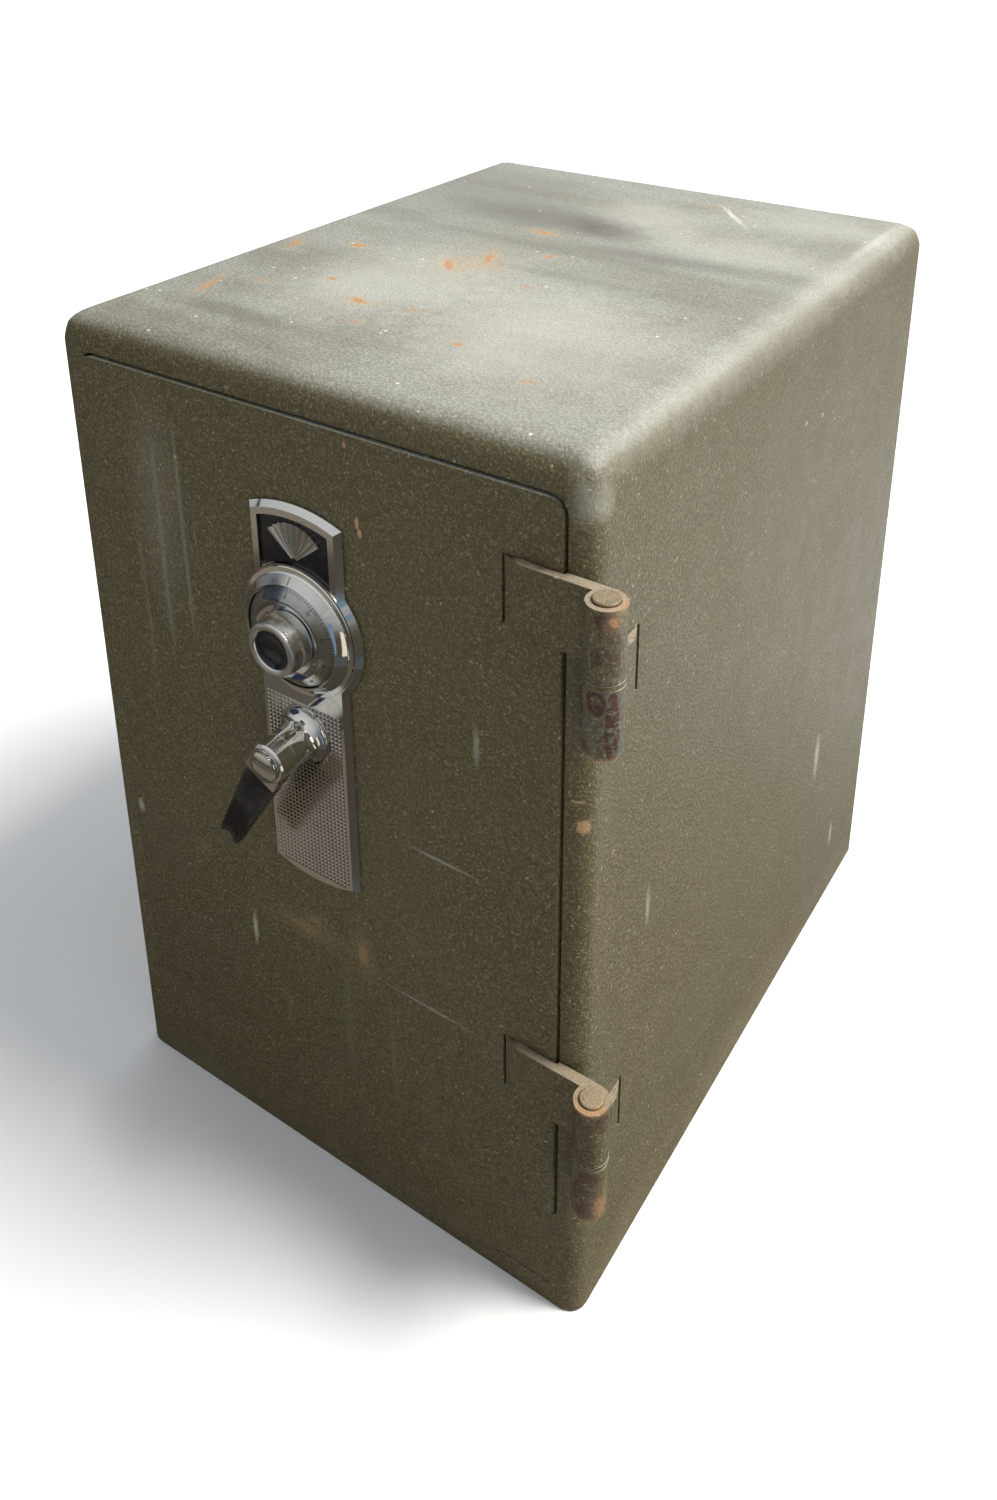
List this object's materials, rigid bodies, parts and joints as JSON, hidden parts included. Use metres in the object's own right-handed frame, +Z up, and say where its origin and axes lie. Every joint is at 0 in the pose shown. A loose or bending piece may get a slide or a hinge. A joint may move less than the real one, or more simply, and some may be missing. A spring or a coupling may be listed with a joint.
{
  "type": "fire-resistant safe",
  "caption": "Free-standing fire-resistant safe with a hinged door, combination dial, lever handle, sliding locking bolts, lined compartment and shelf.",
  "frame": {"origin": "centre of the body's base, on the floor", "axes": "+Z up, the door faces -Y, +X toward the hinge side"},
  "size_m": [0.466, 0.6122, 0.682],
  "materials": {
    "paint": "dark olive wrinkle enamel, worn, with rust spots",
    "lining": "grey enamel",
    "steel": "bright mild steel",
    "satin": "satin plated steel",
    "chrome": "polished chrome plate",
    "brass": "machined brass",
    "black": "black moulded plastic",
    "fill": "cast vermiculite and gypsum fire filling, not painted"
  },
  "bodies": {
    "body": {"body_shell": "paint", "back_panel": "paint", "base_pan": "steel", "body_insulation": "fill", "door_frame": "paint", "inner_liner": "lining", "shelf_rail_left": "steel", "shelf_rail_right": "steel", "shelf": "lining", "badge_plate": "paint", "hinge_leaf_upper": "paint", "hinge_leaf_lower": "paint", "hinge_pin_upper": "steel", "hinge_pin_lower": "steel", "hinge_washer_upper": "satin", "hinge_washer_lower": "satin"},
    "door": {"door_skin": "paint", "door_insulation": "fill", "door_inner_pan": "lining", "dead_bar": "steel", "bolt_cover": "lining", "cover_screw_1": "steel", "cover_screw_2": "steel", "cover_screw_3": "steel", "cover_screw_4": "steel", "hinge_strap_upper": "paint", "hinge_strap_lower": "paint", "lock_plate": "chrome", "window_panel": "black", "fan_emblem": "satin", "dial_ring": "chrome", "index_segment": "satin", "lock_case": "brass", "lock_lid": "brass", "wheel_post": "brass", "handle_bush": "brass"},
    "dial": {"dial_flange": "satin", "dial_knob": "chrome", "dial_insert": "black", "dial_spindle": "brass", "drive_cam": "brass"},
    "handle": {"handle_hub": "chrome", "handle_cap": "chrome", "handle_grip": "black", "handle_spindle": "steel"},
    "boltwork": {"bolt_carriage": "steel", "lock_bolt_1": "steel", "lock_bolt_2": "steel", "lock_bolt_3": "steel"},
    "blocking_bolt": {"blocking_bolt": "brass"},
    "wheel_1": {"wheel_1": "brass"},
    "wheel_2": {"wheel_2": "brass"},
    "wheel_3": {"wheel_3": "brass"}
  },
  "joints": [
    {"name": "door_hinge", "type": "hinge", "parent": "body", "child": "door", "pos_m": [0.234, -0.2936, 0], "axis": [0, 0, 1], "range_deg": [0, 120]},
    {"name": "dial_turn", "type": "hinge", "parent": "door", "child": "dial", "pos_m": [0.0015, -0.281, 0.5035], "axis": [0, -1, 0], "continuous": true},
    {"name": "handle_turn", "type": "hinge", "parent": "door", "child": "handle", "pos_m": [0.0015, -0.281, 0.422], "axis": [0, -1, 0], "range_deg": [0, 58]},
    {"name": "bolt_slide", "type": "slide", "parent": "door", "child": "boltwork", "axis": [-1, 0, 0], "range_m": [0, 0.026]},
    {"name": "blocking_slide", "type": "slide", "parent": "door", "child": "blocking_bolt", "axis": [0, 0, -1], "range_m": [0, 0.008]},
    {"name": "wheel_1_turn", "type": "hinge", "parent": "door", "child": "wheel_1", "pos_m": [0.0015, -0.281, 0.5035], "axis": [0, -1, 0], "continuous": true},
    {"name": "wheel_2_turn", "type": "hinge", "parent": "door", "child": "wheel_2", "pos_m": [0.0015, -0.281, 0.5035], "axis": [0, -1, 0], "continuous": true},
    {"name": "wheel_3_turn", "type": "hinge", "parent": "door", "child": "wheel_3", "pos_m": [0.0015, -0.281, 0.5035], "axis": [0, -1, 0], "continuous": true}
  ],
  "couplings": [
    {"joint": "bolt_slide", "follows": "handle_turn", "m_per_rad": 0.02568}
  ]
}
